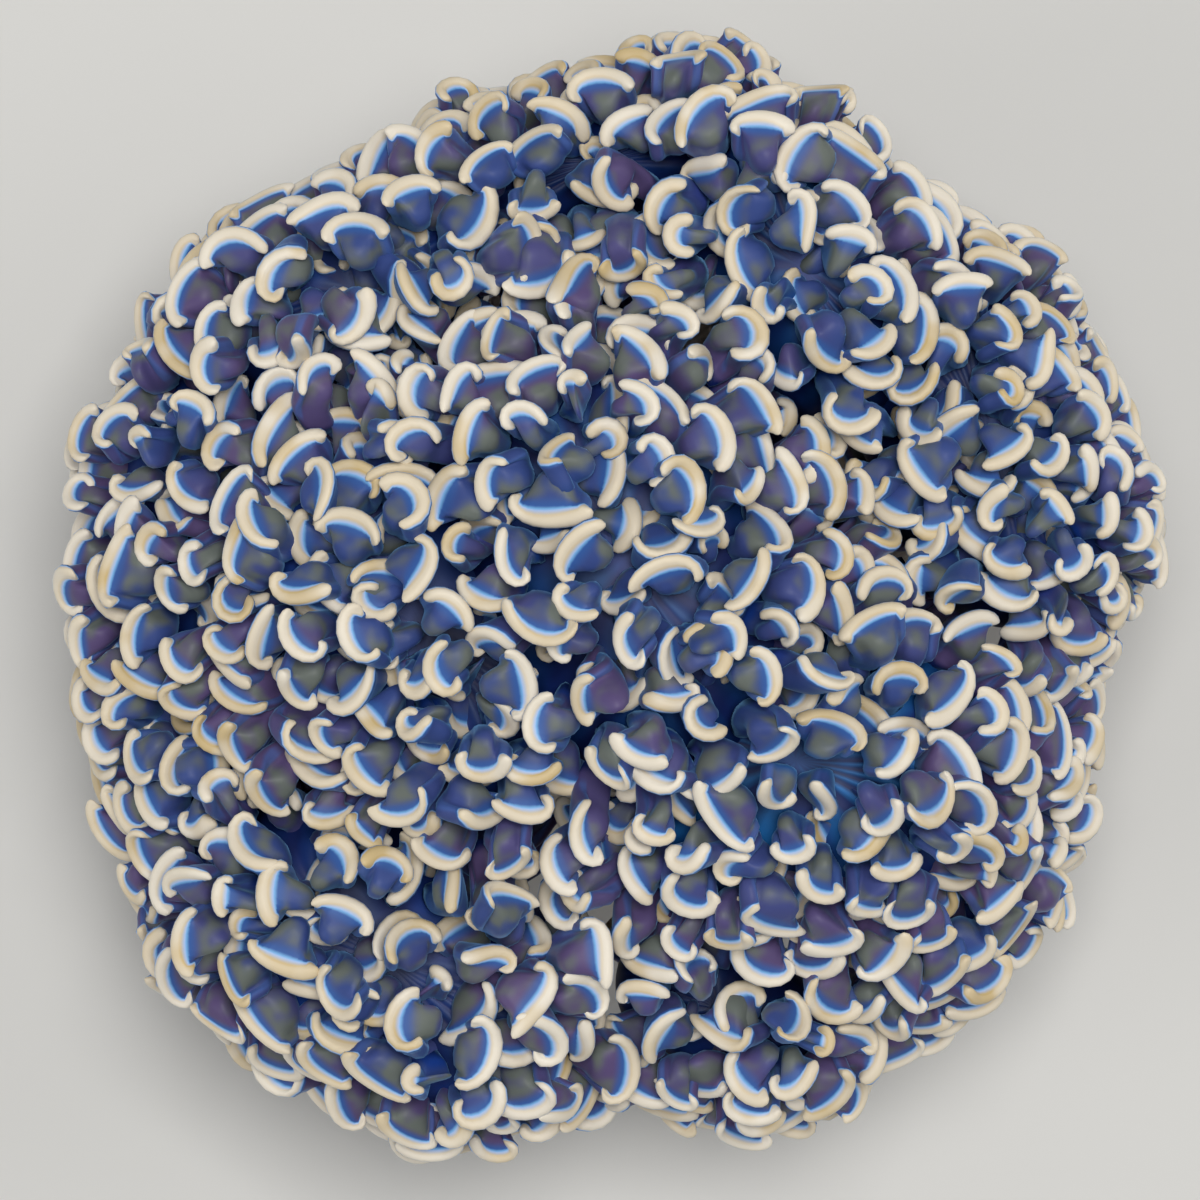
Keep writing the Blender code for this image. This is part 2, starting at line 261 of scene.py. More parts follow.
def set_stops(ramp, stops):
    """Gives a colour ramp its stops, from low to high, each a position and a colour."""
    for position, _ in stops[1:-1]:
        ramp.elements.new(position)
    for stop, (position, shade) in zip(ramp.elements, stops):
        stop.position = position
        stop.color = opaque(shade)


def object_from(bm, name):
    """A smoothly shaded object from a bmesh."""
    mesh = bpy.data.meshes.new(name)
    bm.to_mesh(mesh)
    bm.free()
    mesh.shade_smooth()
    item = bpy.data.objects.new(name, mesh)
    bpy.context.scene.collection.objects.link(item)
    return item


def unit(vectors):
    return vectors / np.maximum(np.linalg.norm(vectors, axis=-1, keepdims=True), TINY)


def dot(one, other):
    return np.sum(one * other, axis=-1, keepdims=True)


def cup_radius(polyp):
    """The radius of the stony cup that a polyp sits on."""
    return max(CUP_LEAST, CUP_SHARE * polyp.reach) * MM


# The domes, each the same distance all round its mouth line.

# How full a dome's sides are, how far the tips' places lie within the tips' own reach, and how
# much of its depth under the tips the core keeps at the sides.
DOME_POWER = 2.5
TIP_INSET = 1.2 * MM
CORE_SIDE_SHARE = 0.48


class Dome:
    """A polyp's dome, with its mouth line in plan and its half height."""

    def __init__(self, polyp, inset):
        start = np.array((*polyp.start, 0.0)) * MM
        end = np.array((*polyp.end, 0.0)) * MM
        self.middle = (start + end) / 2
        self.middle[2] = (polyp.top + polyp.underside) / 2 * MM
        self.half = np.linalg.norm(end - start) / 2
        self.along = (end - start) / (2 * self.half)
        self.reach = polyp.reach * MM - inset
        self.rise = (polyp.top - polyp.underside) / 2 * MM - inset

    def nearest_on_mouth(self, points):
        """The nearest point of the mouth line, at the height of the dome's middle."""
        slide = np.clip((points - self.middle) @ self.along, -self.half, self.half)
        return self.middle + slide[..., None] * self.along

    def parts(self, points):
        """The nearest point of the mouth line, and the way, distance and height from it."""
        foot = self.nearest_on_mouth(points)
        flat = points - foot
        height = flat[..., 2].copy()
        flat[..., 2] = 0.0
        distance = np.maximum(np.linalg.norm(flat, axis=-1), TINY)
        return foot, flat / distance[..., None], distance, height

    def fullness(self, points):
        """One on the dome's surface, less inside and more outside."""
        distance, height = self.parts(points)[2:]
        sides = (distance / self.reach) ** DOME_POWER + (np.abs(height) / self.rise) ** DOME_POWER
        return sides ** (1 / DOME_POWER)

    def onto(self, points):
        """The points moved straight from the mouth line onto the surface."""
        foot = self.nearest_on_mouth(points)
        return foot + (points - foot) / self.fullness(points)[..., None]

    def steepness(self, points):
        """The turn down from the dome's top."""
        distance, height = self.parts(points)[2:]
        return np.arctan2(distance / self.reach, height / self.rise)

    def core(self, depth):
        """The reach and the rise of the fleshy core under the tips."""
        return self.reach - CORE_SIDE_SHARE * depth, self.rise - depth

    def normal(self, points):
        """The directions straight out of the surface."""
        _, away, distance, height = self.parts(points)
        flat = (distance / self.reach) ** (DOME_POWER - 1) / self.reach
        up = np.sign(height) * (np.abs(height) / self.rise) ** (DOME_POWER - 1) / self.rise
        return unit(away * flat[..., None] + np.array((0.0, 0.0, 1.0)) * up[..., None])


DOMES = {
    polyp.name: Dome(polyp, TIP_INSET - OVERHANGS.get(polyp.name, 0.0) * MM) for polyp in POLYPS}

# The canopy over all the domes: how much it fills their valleys, and how points are moved onto it.
VALLEY_FILL = 4.0 * MM
PROBE = 0.2 * MM
CANOPY_STEPS = 3
LEAST_SLOPE = 0.05


def dome_distances(points):
    """How far each point lies outside each dome."""
    rows = []
    for dome in DOMES.values():
        size = np.linalg.norm(points - dome.nearest_on_mouth(points), axis=-1)
        rows.append(size * (1.0 - 1.0 / np.maximum(dome.fullness(points), TINY)))
    return np.array(rows)


def canopy_distance(points):
    """How far each point lies outside the canopy, which rounds the valleys between domes."""
    return -VALLEY_FILL * np.log(np.sum(np.exp(-dome_distances(points) / VALLEY_FILL), axis=0))


def canopy_slope(points):
    """The way straight out of the canopy at each point."""
    steps = PROBE * np.eye(3)
    rise = [canopy_distance(points + step) - canopy_distance(points - step) for step in steps]
    return np.stack(rise, axis=-1) / (2 * PROBE)


def onto_canopy(points, lift=0.0):
    """The points moved straight out or in until they lie at a height over the canopy."""
    for _ in range(CANOPY_STEPS):
        slope = canopy_slope(points)
        over = (canopy_distance(points) - lift)[:, None]
        points = points - over * slope / np.maximum(dot(slope, slope), LEAST_SLOPE)
    return points


# Places for the tips.

# How far down a dome the tips reach, how the places to choose from are spread, and how much
# closer than the usual area per tip two tips may be.
LOWEST_TURN = math.radians(122)
DOME_SAMPLES = 3120
SAMPLE_SPREAD = 1.02
CLOSEST_TIPS = 0.70

# The tips under the first layer: how close, as shares of the least distance, they come to the
# tips above and to each other, how deep the valleys are that get them, how deep they sit, and
# how much narrower they are.
Layer = namedtuple("Layer", "above mates valley depth")
LAYERS = (Layer(0.60, 1.75, -1.0, 3.2), Layer(0.0, 1.15, 1.6, 7.0))
LOWER_TIP_SHARE = 0.85


def dome_samples(dome, draw):
    """Points spread over a dome, down to the lowest place of a tentacle."""
    directions = unit(draw.normal(size=(DOME_SAMPLES, 3)))
    slide = draw.uniform(-1.0, 1.0, DOME_SAMPLES) * dome.half
    points = dome.middle + slide[:, None] * dome.along + directions * (dome.rise * SAMPLE_SPREAD)
    points = dome.onto(points)
    return points[dome.steepness(points) < LOWEST_TURN]


def openness(polyp):
    """From nothing for a polyp with the usual mouth to one for the widest mouth."""
    wider = MOUTH_GAPS.get(polyp.name, USUAL_MOUTH_GAP) - USUAL_MOUTH_GAP
    return wider / (max(MOUTH_GAPS.values()) - USUAL_MOUTH_GAP)


def crowded(places, point, least):
    """Whether any of the places is nearer to the point than the least distance."""
    return np.sum((places - point) ** 2, axis=1).min() < least ** 2


def tip_scales():
    """How large each polyp's tips are."""
    return np.array([TIP_SCALES.get(polyp.name, 1.0) for polyp in POLYPS])


def mouth_gaps():
    """How far to each side the tips leave each polyp's mouth open."""
    return np.array([MOUTH_GAPS.get(polyp.name, USUAL_MOUTH_GAP) for polyp in POLYPS]) * MM


def first_places(sizes, draw):
    """Places for the tips of every polyp, none too close, with each one's polyp and layer."""
    least = math.sqrt(sizes.tip_area * CLOSEST_TIPS) * MM
    samples = []
    for number, polyp in enumerate(POLYPS):
        dome = DOMES[polyp.name]
        points = onto_canopy(dome_samples(dome, draw))
        open_mouth = dome.parts(points)[2] <= mouth_gaps()[number]
        points = points[(dome.steepness(points) < LOWEST_TURN) & ~open_mouth]
        nearest = np.argmin(dome_distances(points), axis=0)
        samples += [(number, point) for point in points[nearest == number]]
    kept = []
    owners = []
    scales = tip_scales()
    for index in draw.permutation(len(samples)):
        number, point = samples[index]
        if kept and crowded(np.array(kept), point, least * scales[number]):
            continue
        kept.append(point)
        owners.append(number)
    layers = [0] * len(kept)
    low = np.array([point for _, point in samples])
    filled = dome_distances(low).min(axis=0) - canopy_distance(low)
    upper = np.array(kept)
    for level, layer in enumerate(LAYERS, start=1):
        mates = []
        for index in draw.permutation(len(samples)):
            number, point = samples[index]
            if filled[index] < layer.valley * MM or crowded(upper, point, layer.above * least):
                continue
            if mates and crowded(np.array(mates), point, layer.mates * least):
                continue
            mates.append(point)
            kept.append(point)
            owners.append(number)
            layers.append(level)
    return np.array(kept), np.array(owners), np.array(layers)


# How the tips' proportions spread round their means, between their least and their most. Turns
# are degrees, the sweep is millimetres, and the others are shares.
Spread = namedtuple("Spread", "mean spread least most", defaults=(-math.inf, math.inf))
SPREADS = {
    "half_width": Spread(1.0, 0.16, 0.6, 1.25),
    "half_thickness": Spread(1.0, 0.08, 0.8, 1.2),
    "length": Spread(1.0, 0.12, 0.7, 1.3),
    "stem": Spread(1.0, 0.1, 0.75, 1.25),
    "bend": Spread(130.0, 32.0, 36.0, 176.0),
    "wave": Spread(0.0, 0.42),
    "lopsided": Spread(0.0, 0.20, -0.4, 0.4),
    "taper": Spread(0.0, 0.16, -0.35, 0.35),
    "sweep": Spread(0.4, 0.35, -0.2, 1.3),
    "roll": Spread(0.0, 44.0),
    "lean": Spread(0.0, 16.0),
    "side_lean": Spread(0.0, 12.0),
    "fill": Spread(1.0, 0.16, 0.6, 1.35),
}
# How evenly a bar bends, how high a tip stands over the canopy, and how many tips are fingers
# and how narrow they are.
EVEN_LEAST, EVEN_MOST = 0.20, 0.88
LIFT_LEAST, LIFT_MOST = -1.3, 0.5
FINGER_SHARE = 0.04
FINGER_WIDTH = 0.45
PROPORTIONS = (*SPREADS, "even", "lift", "tint")

# A bar is shorter where it bends less, and its wave is less where it bends so far that it would
# curl into itself.
BEND_WIDTH = 0.30
USUAL_BEND = math.radians(132)
MOST_TURN = math.radians(205)
WAVE_LEVEL = 0.3
BAR_STEPS = 8

# How far the tips lean from upright: at the top, with the slope, and with less of a roll there.
TIP_TILT = math.radians(20)
TILT_WITH_SLOPE = 0.45
CALM_WITH_SLOPE = 0.4
MOST_ROLL = math.radians(115)

# How the gaps between the tips are found from above, and how deep the tips that fill them sit.
PROBE_LIMIT = 45.0
PROBE_SPACING = 1.1
TOP_OF_SEARCH = 64.0 * MM
LOWEST_FILL = 12.0 * MM
DROPS = 40
SHORTEST_DROP = 0.1 * MM
WIDEST_GAP = 2.2 * MM
GAP_HEIGHT = 9.0 * MM
FILL_DEPTH = 2.4 * MM
INNER_RADIUS = 30.0 * MM
WIDEST_BRIDGE = 3.2 * MM
OUTER_BRIDGE = 0.5 * MM

# The balls that stand for a tip while the tips are pushed apart: along its bar, and then below
# it and inwards from it for its web, the underside of the web and its neck.
Ball = namedtuple("Ball", "radius below inwards")
BAR_SPOTS = np.linspace(-0.85, 0.85, 5)
BAR_BALL_RADIUS = 0.78
BAR_BALL_DEPTH = 0.6 * MM
LOW_BALLS = (Ball(1.3, 1.5, 1.5), Ball(1.15, 2.9, 0.8), Ball(1.0, 4.6, 0.0))

# How the tips are pushed apart, with their balls at a share of their size at the start.
RELAX_STEPS = 50
FIRST_BALLS = 0.6
LATER_BALLS = 0.8
TIP_REACH = 9.0 * MM
PUSH_DAMPING = 2.5
LONGEST_MOVE = 0.6 * MM
TWIST_ARM = 2.5 * MM
MOST_TWIST = 0.12
MOVE_SHARE = 0.8
SHUT_SHARE = 0.3
LEVEL_SHARE = 0.4


class Tips:
    """Every tentacle's tip: its place, its directions and its own proportions."""

    def __init__(self, sizes):
        draw = np.random.default_rng(sizes.seed)
        self.draw = draw
        self.places, self.owners, layers = first_places(sizes, draw)
        count = len(self.places)
        self.count = count
        self.half_width = sizes.tip_width / 2 * MM * self.spread("half_width")
        self.half_thickness = sizes.tip_thickness / 2 * MM * self.spread("half_thickness")
        self.length = sizes.tip_length * MM * self.spread("length")
        self.stem = sizes.stem_radius * MM * self.spread("stem")
        self.bend = np.radians(self.spread("bend"))
        self.half_width *= 1.0 - BEND_WIDTH + BEND_WIDTH * self.bend / USUAL_BEND
        self.half_width *= tip_scales()[self.owners]
        wave = (MOST_TURN / self.bend - 1.0).clip(0.0, 1.0 - WAVE_LEVEL) / (1.0 - WAVE_LEVEL)
        self.wave = self.spread("wave").clip(-wave, wave)
        self.even = draw.uniform(EVEN_LEAST, EVEN_MOST, count)
        self.lopsided = self.spread("lopsided")
        self.taper = self.spread("taper")
        self.sweep = MM * self.spread("sweep", 2)
        self.roll = np.radians(self.spread("roll"))
        self.lean = np.radians(self.spread("lean"))
        self.side_lean = np.radians(self.spread("side_lean"))
        self.lift = MM * draw.uniform(LIFT_LEAST, LIFT_MOST, count)
        self.lift -= np.array([0.0] + [layer.depth for layer in LAYERS])[layers] * MM
        self.half_width[layers > 0] *= LOWER_TIP_SHARE
        self.tint = draw.uniform(0.0, 1.0, count)
        self.fill = self.spread("fill")
        self.half_width[draw.uniform(0.0, 1.0, count) < FINGER_SHARE] *= FINGER_WIDTH
        self.aim()
        self.places = self.places + self.lift[:, None] * self.normal

    def spread(self, name, *more):
        """Draws one of the proportions for every tip."""
        mean, spread, least, most = SPREADS[name]
        return self.draw.normal(mean, spread, (self.count, *more)).clip(least, most)

    def aim(self):
        """Works out each tip's directions from its place on its dome."""
        away = np.zeros((self.count, 3))
        self.from_mouth = np.zeros(self.count)
        for number, polyp in enumerate(POLYPS):
            mine = self.owners == number
            _, away[mine], self.from_mouth[mine], _ = DOMES[polyp.name].parts(self.places[mine])
        normal = unit(canopy_slope(self.places))
        up = np.array((0.0, 0.0, 1.0))
        side = np.cross(up, away)
        slope = np.arccos(np.clip(normal[:, 2], -1.0, 1.0))
        lean = self.lean + MOUTH_LEAN * (
            np.array([openness(polyp) for polyp in POLYPS])[self.owners] * self.near_mouth())
        tilt = (TIP_TILT + TILT_WITH_SLOPE * slope + lean)[:, None]
        axis = np.sin(tilt) * away + np.cos(tilt) * up
        axis = unit(axis + np.tan(self.side_lean)[:, None] * side)
        inner = unit(up * np.sin(tilt) - away * np.cos(tilt))
        inner = unit(inner - dot(inner, axis) * axis)
        across = np.cross(inner, axis)
        roll = (self.roll * (1.0 - CALM_WITH_SLOPE * slope))[:, None]
        self.axis = axis
        self.across = np.cos(roll) * across + np.sin(roll) * inner
        self.inner = np.cos(roll) * inner - np.sin(roll) * across
        self.away = away
        self.normal = normal

    def near_mouth(self):
        """One at a mouth line and less away from it."""
        return np.exp(-(self.from_mouth / MOUTH_GLOW) ** 2)

    def fill_gaps(self, bridges=()):
        """Adds tips where a view from above would look down between the others, and as bridges."""
        steps = np.arange(-PROBE_LIMIT, PROBE_LIMIT, PROBE_SPACING) * MM
        plan = np.array([(x, y, TOP_OF_SEARCH) for x in steps for y in steps])
        falling = self.draw.permutation(plan)
        points = falling.copy()
        least = canopy_distance(points)
        for _ in range(DROPS):
            gap = canopy_distance(falling)
            nearer = gap < least
            points[nearer] = falling[nearer]
            least[nearer] = gap[nearer]
            falling[:, 2] = np.maximum(falling[:, 2] - np.maximum(gap, SHORTEST_DROP), 0.0)
        inside = np.hypot(points[:, 0], points[:, 1]) < INNER_RADIUS
        widest = np.where(inside, WIDEST_BRIDGE, OUTER_BRIDGE)
        points = points[(points[:, 2] > LOWEST_FILL) & (least < widest)]
        for dome, gap in zip(DOMES.values(), mouth_gaps()):
            points = points[dome.parts(points)[2] > gap]
        places = self.places
        for point in points:
            near = places[np.abs(places[:, 2] - point[2]) < GAP_HEIGHT]
            if not crowded(near[:, :2], point[:2], WIDEST_GAP):
                places = np.vstack((places, point - np.array((0.0, 0.0, FILL_DEPTH))))
        for bridge in bridges:
            places = np.vstack((places, np.array(bridge) * MM))
        extra = len(places) - self.count
        chosen = self.draw.integers(0, self.count, extra)
        for name in PROPORTIONS:
            values = getattr(self, name)
            setattr(self, name, np.concatenate((values, values[chosen])))
        self.places = places
        self.lift[self.count:] = -FILL_DEPTH
        owners = np.argmin(dome_distances(places[self.count:]), axis=0)
        self.owners = np.concatenate((self.owners, owners))
        self.count += extra
        self.aim()

    def turn_at(self, mine, spots, bend):
        """How far the bars of some tips have turned at spots from -1 to 1 along them."""
        even = self.even[mine][:, None]
        hook = even * spots + (1.0 - even) * spots ** 3
        return bend * (hook + self.wave[mine][:, None] * (spots ** 2 - WAVE_LEVEL))

    def bar(self, mine, spots, width=1.0, bend=1.0):
        """Offsets across and inwards, and the turn, at spots along the bars of some tips."""
        half = self.half_width[mine][:, None] * width
        bend = self.bend[mine][:, None] * bend
        across = 0.0
        inwards = 0.0
        for step in range(BAR_STEPS):
            turn = self.turn_at(mine, spots * (step + 0.5) / BAR_STEPS, bend)
            across = across + np.cos(turn) * spots * half / BAR_STEPS
            inwards = inwards + np.sin(turn) * spots * half / BAR_STEPS
        inwards = inwards - inwards.mean(axis=1, keepdims=True)
        return across, inwards, self.turn_at(mine, spots, bend)

    def balls(self):
        """Centres of the balls that stand for each tip while the tips are pushed apart."""
        across, inwards, _ = self.bar(slice(None), BAR_SPOTS)
        bars = (
            self.places[:, None] + across[..., None] * self.across[:, None]
            + inwards[..., None] * self.inner[:, None] - BAR_BALL_DEPTH * self.axis[:, None])
        low = [
            self.places - ball.below * MM * self.axis + ball.inwards * MM * self.inner
            for ball in LOW_BALLS]
        return np.concatenate((bars, np.stack(low, axis=1)), axis=1)

    def push_apart(self, start):
        """Moves and turns the tips, as their balls grow from a share, until they hardly meet."""
        radii = [BAR_BALL_RADIUS] * len(BAR_SPOTS) + [ball.radius for ball in LOW_BALLS]
        for step in range(RELAX_STEPS):
            grown = np.array(radii) * MM * min(1.0, start + step / RELAX_STEPS)
            balls = self.balls()
            gaps = np.linalg.norm(self.places[:, None] - self.places[None], axis=-1)
            one, other = np.nonzero(np.triu(gaps < TIP_REACH, 1))
            between = balls[one][:, :, None] - balls[other][:, None]
            distance = np.maximum(np.linalg.norm(between, axis=-1), TINY)
            overlap = np.maximum(grown[:, None] + grown[None, :] - distance, 0.0)
            force = between * (overlap / distance / 2)[..., None]
            pushes = np.zeros_like(balls)
            np.add.at(pushes, one, force.sum(axis=2))
            np.add.at(pushes, other, -force.sum(axis=1))
            arms = balls - self.places[:, None, :]
            move = pushes.sum(axis=1) / PUSH_DAMPING
            size = np.linalg.norm(move, axis=1, keepdims=True)
            move *= np.minimum(1.0, LONGEST_MOVE / np.maximum(size, TINY))
            twist = dot(np.cross(arms, pushes).sum(axis=1), self.axis)[:, 0]
            self.roll += np.clip(twist / TWIST_ARM ** 2 / PUSH_DAMPING, -MOST_TWIST, MOST_TWIST)
            self.roll = np.clip(self.roll, -MOST_ROLL, MOST_ROLL)
            shut = np.maximum(mouth_gaps()[self.owners] - self.from_mouth, 0.0)
            moved = self.places + MOVE_SHARE * move + SHUT_SHARE * shut[:, None] * self.away
            level = onto_canopy(moved, self.lift)
            self.places = moved + LEVEL_SHARE * (level - moved)
            self.aim()


# Tentacles.

# Where along a bar its tongue ends and its ends start, how far below the cap the ends' rings are
# drawn together, to what depth, how much further the cream comes down there, and how much more
# web a lopsided tip has at one end.
TONGUE = 0.6
END_SPOT = 0.9
CAP_HEIGHT = 1.5
END_HEIGHT = 0.55
END_CREAM = 0.12
LOPSIDED_WEB = 1.2

# How deep a stem's root sits in the core, and how upright it leaves it.
ROOT_SUNK_SHARE = 0.88
ROOT_LIFT = 0.5 * MM
ROOT_UPRIGHT = 0.5

# How blue, with its painted glow, the stems at a mouth are that has the usual gap.
LEAST_BLUE = 0.06


def tentacle_cage():
    """One tentacle's cage: a strip of cap faces, drawn out ring by ring from the root."""
    bm = bmesh.new()
    bmesh.ops.create_grid(bm, x_segments=len(COLUMN_SPOTS) - 1, y_segments=1, size=1.0)
    drawn = bm.faces[:] + bm.edges[:]
    for level in range(1, 1 + len(TIP_RINGS)):
        drawn = bmesh.ops.extrude_face_region(bm, geom=drawn)["geom"]
        for item in drawn:
            if isinstance(item, bmesh.types.BMVert):
                item.co.z = level
    bmesh.ops.recalc_face_normals(bm, faces=bm.faces)
    mesh = bpy.data.meshes.new("cage")
    bm.to_mesh(mesh)
    bm.free()
    return mesh


def cage_columns(mesh):
    """Each cage point's ring from the root, place round the ring and side."""
    count = len(mesh.vertices)
    points = np.zeros(count * 3)
    mesh.vertices.foreach_get("co", points)
    points = points.reshape(count, 3)
    column = np.rint((points[:, 0] + 1) / 2 * (len(COLUMN_SPOTS) - 1)).astype(int)
    return np.rint(points[:, 2]).astype(int), column, np.sign(points[:, 1])


def laid_out(tips, mine, levels, columns, sides):
    """Every point of the tentacles in the list, and its values for the material."""
    count = len(mine)
    points = np.zeros((count, len(levels), 3))
    along = np.zeros((count, len(levels)))
    edge = np.zeros((count, len(levels)))
    axis, across, inner = tips.axis[mine], tips.across[mine], tips.inner[mine]
    lopsided = tips.lopsided[mine]

    ring = levels == 0
    angle = math.pi * (1.0 - (columns[ring] + 0.5) / len(COLUMN_SPOTS))
    way = tips.root_axis[mine]
    wide = unit(across - dot(across, way) * way)
    deep = np.cross(way, wide)
    radius = (tips.stem[mine] * ROOT_SWELL)[:, None, None]
    wide = wide[:, None, :] * np.cos(angle)[None, :, None]
    deep = deep[:, None, :] * (np.sin(angle) * sides[ring])[None, :, None]
    points[:, ring] = tips.roots[mine][:, None, :] + radius * (wide + deep)

    for number, shape in enumerate(reversed(TIP_RINGS)):
        ring = levels == number + 1
        side = sides[ring]
        spots = np.array(COLUMN_SPOTS)[columns[ring]]
        swell = np.array(COLUMN_SWELLS)[columns[ring]] * side
        ends = np.abs(spots) > END_SPOT
        cap_ends = ends & (shape.height < CAP_HEIGHT)
        width = np.where(np.abs(spots) > TONGUE, shape.ends, shape.tongue)
        x, y, turn = tips.bar(mine, spots, width, shape.bend)
        thick = tips.half_thickness[mine][:, None] * shape.thickness * swell
        thick = thick * (1.0 + tips.taper[mine][:, None] * spots)
        x = x - np.sin(turn) * thick
        y = y + np.cos(turn) * thick
        shift = lopsided * tips.half_width[mine] * (1.0 - shape.height / TIP_RINGS[-1].height)
        x = x + shift[:, None]
        bulge = np.array(COLUMN_BULGES)[columns[ring]] * np.maximum(side, 0.0)
        uneven = 1.0 + LOPSIDED_WEB * lopsided[:, None] * spots
        y = y + shape.bulge * MM * tips.fill[mine][:, None] * bulge * uneven
        sweep = np.where(spots < 0, tips.sweep[mine][:, :1], tips.sweep[mine][:, 1:])
        scale = (tips.length[mine] / (USUAL_TIP_LENGTH * MM))[:, None]
        z = np.where(cap_ends, (END_HEIGHT - shape.height) / 2 - END_HEIGHT, -shape.height)
        z = z * MM * scale - sweep * np.abs(spots) ** 2 * width ** 2
        points[:, ring] = (
            tips.places[mine][:, None, :] + x[..., None] * across[:, None, :]
            + y[..., None] * inner[:, None, :] + z[..., None] * axis[:, None, :])
        along[:, ring] = shape.along + END_CREAM * cap_ends
        edge[:, ring] = ends
    return points, along, edge


def set_values(mesh, name, values):
    """Stores a value for each point of a mesh, for its material to read."""
    layer = mesh.attributes.new(name, "FLOAT", "POINT")
    layer.data.foreach_set("value", np.asarray(values, dtype=np.float32).ravel())


def find_roots(tips, sizes):
    """Where each stem leaves the core, nearer the mouth than its tip."""
    tips.roots = np.zeros_like(tips.places)
    tips.root_axis = np.zeros_like(tips.places)
    for number, polyp in enumerate(POLYPS):
        mine = tips.owners == number
        dome = DOMES[polyp.name]
        foot, away, distance, height = dome.parts(tips.places[mine])
        wide, high = dome.core(sizes.core_depth * MM)
        root = foot + away * (distance * wide / dome.reach * ROOT_SUNK_SHARE)[:, None]
        root[:, 2] = foot[:, 2] + height * high / dome.rise * ROOT_SUNK_SHARE + ROOT_LIFT
        tips.roots[mine] = root
        upright = np.array((0.0, 0.0, ROOT_UPRIGHT))
        tips.root_axis[mine] = unit(dome.normal(tips.places[mine]) + upright)


def add_flesh(item, polyp, material):
    """Finishes a soft piece that stands in place of a polyp's solid."""
    modifier = item.modifiers.new("round", "SUBSURF")
    modifier.levels = 1
    modifier.render_levels = 1
    item.data.materials.append(material)
    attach(item, "root")
    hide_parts("polyp_" + polyp.name)


def tentacles(tips, number, cage, material):
    """All the tentacles of one polyp as one piece."""
    polyp = POLYPS[number]
    mine = np.nonzero(tips.owners == number)[0]
    bm = bmesh.new()
    for _ in mine:
        bm.from_mesh(cage)
    item = object_from(bm, "tentacles_" + polyp.name)
    levels, columns, sides = cage_columns(cage)
    points, along, edge = laid_out(tips, mine, levels, columns, sides)
    item.data.vertices.foreach_set("co", points.ravel())
    steep = np.arccos(DOMES[polyp.name].normal(tips.places[mine])[:, 2].clip(-1.0, 1.0))
    # The share of the mouth's blue and painted glow, strongest at a wide mouth.
    blue = (LEAST_BLUE + (1.0 - LEAST_BLUE) * openness(polyp)) * tips.near_mouth()[mine]
    per_tip = {"tint": tips.tint[mine], "flank": steep / math.pi, "centre": blue}
    for name, values in per_tip.items():
        set_values(item.data, name, np.repeat(values, len(levels)))
    set_values(item.data, "along", along)
    set_values(item.data, "side_edge", edge)
    set_values(item.data, "inner_face", np.tile(sides, len(mine)))
    item.data.update()
    add_flesh(item, polyp, material)


# The sizes of the cloudy, the purple and the warm patches of the skin, and how rough they are.
FLESH_PATCHES = (("cloud", 2.38 * MM, 1.0), ("drift", 11.1 * MM, 0.0), ("streak", 3.03 * MM, 1.0))
# How much further the cream comes down a cap's outer face.
OUTER_CREAM = 0.035
# Where each share starts and where it is full, on a value that comes from the mesh or a pattern.
# Along the skin a tentacle's root is at nothing and its cap at one.
FLESH_RANGES = (
    ("outer_skin", "flank", 0.20, 0.42),
    ("outer_stem", "flank", 0.16, 0.42),
    # The root share paints shade down the stems towards their roots.
    ("root", "along", 0.32, 0.05),
    ("web_start", "along", 0.28, 0.52),
    ("above_neck", "along", 0.52, 0.66),
    ("below_cap", "along", 0.86, 0.78),
    ("mouth_light", "along", 0.70, 0.45),
    # These two shares paint a lit edge along the webs' sides, above the stems.
    ("edge_light_start", "along", 0.20, 0.60),
    ("edge_light_side", "side_edge", 0.5, 1.3),
    ("inside", "inner_face", -0.2, 0.8),
    ("cloudy", "cloud", 0.38, 0.64),
    ("purple_drift", "drift", 0.50, 0.74),
    ("warm_drift", "drift", 0.62, 0.40),
    ("warm_streak", "streak", 0.35, 0.65),
    ("warm_tip", "tint", 0.2, 1.0),
    # Painted shade on a cap's lower edge, towards the line.
    ("cap_edge_shade", "edge", 0.95, 0.89),
    ("cream", "edge", 0.874, 0.918),
    ("line", "edge", 0.866, 0.884),
    ("cap", "edge", 0.854, 0.872),
    ("glow", "edge", 0.802, 0.862),
)
# The shares that are worked out from others.
FLESH_SHARES = (
    ("purple", "MAXIMUM", "outer_skin", "purple_drift"),
    ("olive", "MULTIPLY", "cloudy", "inside"),
    ("window", "MULTIPLY", "above_neck", "below_cap"),
    ("olive", "MULTIPLY", "olive", "window"),
    ("near_mouth", "MULTIPLY", "centre", "mouth_light"),
    ("edge_light", "MULTIPLY", "edge_light_side", "edge_light_start"),
    ("patchy", "MULTIPLY", "warm_tip", "warm_streak"),
    # The painted shade on the caps' lower edges, added to their warm patches in one share.
    ("shade", "MULTIPLY", "cap_edge_shade", 0.40),
    ("warm_and_shade", "MULTIPLY_ADD", "patchy", 0.60, "shade"),
    ("warm_and_shade", "MULTIPLY_ADD", "warm_drift", 0.30, "warm_and_shade"),
)
